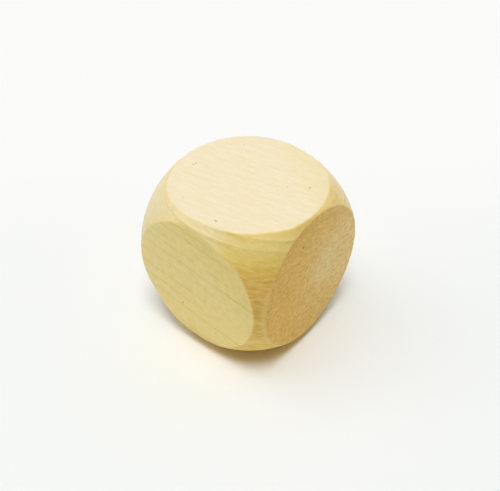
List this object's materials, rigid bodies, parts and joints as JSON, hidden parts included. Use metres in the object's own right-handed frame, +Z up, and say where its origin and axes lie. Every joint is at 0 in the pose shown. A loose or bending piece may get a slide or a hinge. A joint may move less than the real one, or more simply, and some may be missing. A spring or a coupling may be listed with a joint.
{
  "type": "wooden cube",
  "caption": "Solid wooden cube with ball-rounded corners and edges, a blank flat disc on every face, and softened rims.",
  "frame": {"origin": "middle of the sawn square at the level of the face that the cube rests on", "axes": "+Z up, through the face opposite the resting face; +X out of one end-grain face, along the grain; -Y out of a long-grain face"},
  "size_m": [0.03, 0.03, 0.03],
  "materials": {
    "pale_wood": "bare wood, sanded smooth, close straight grain along X, end grain on the two X faces"
  },
  "bodies": {
    "root": {"wooden_cube": "pale_wood"}
  },
  "joints": []
}
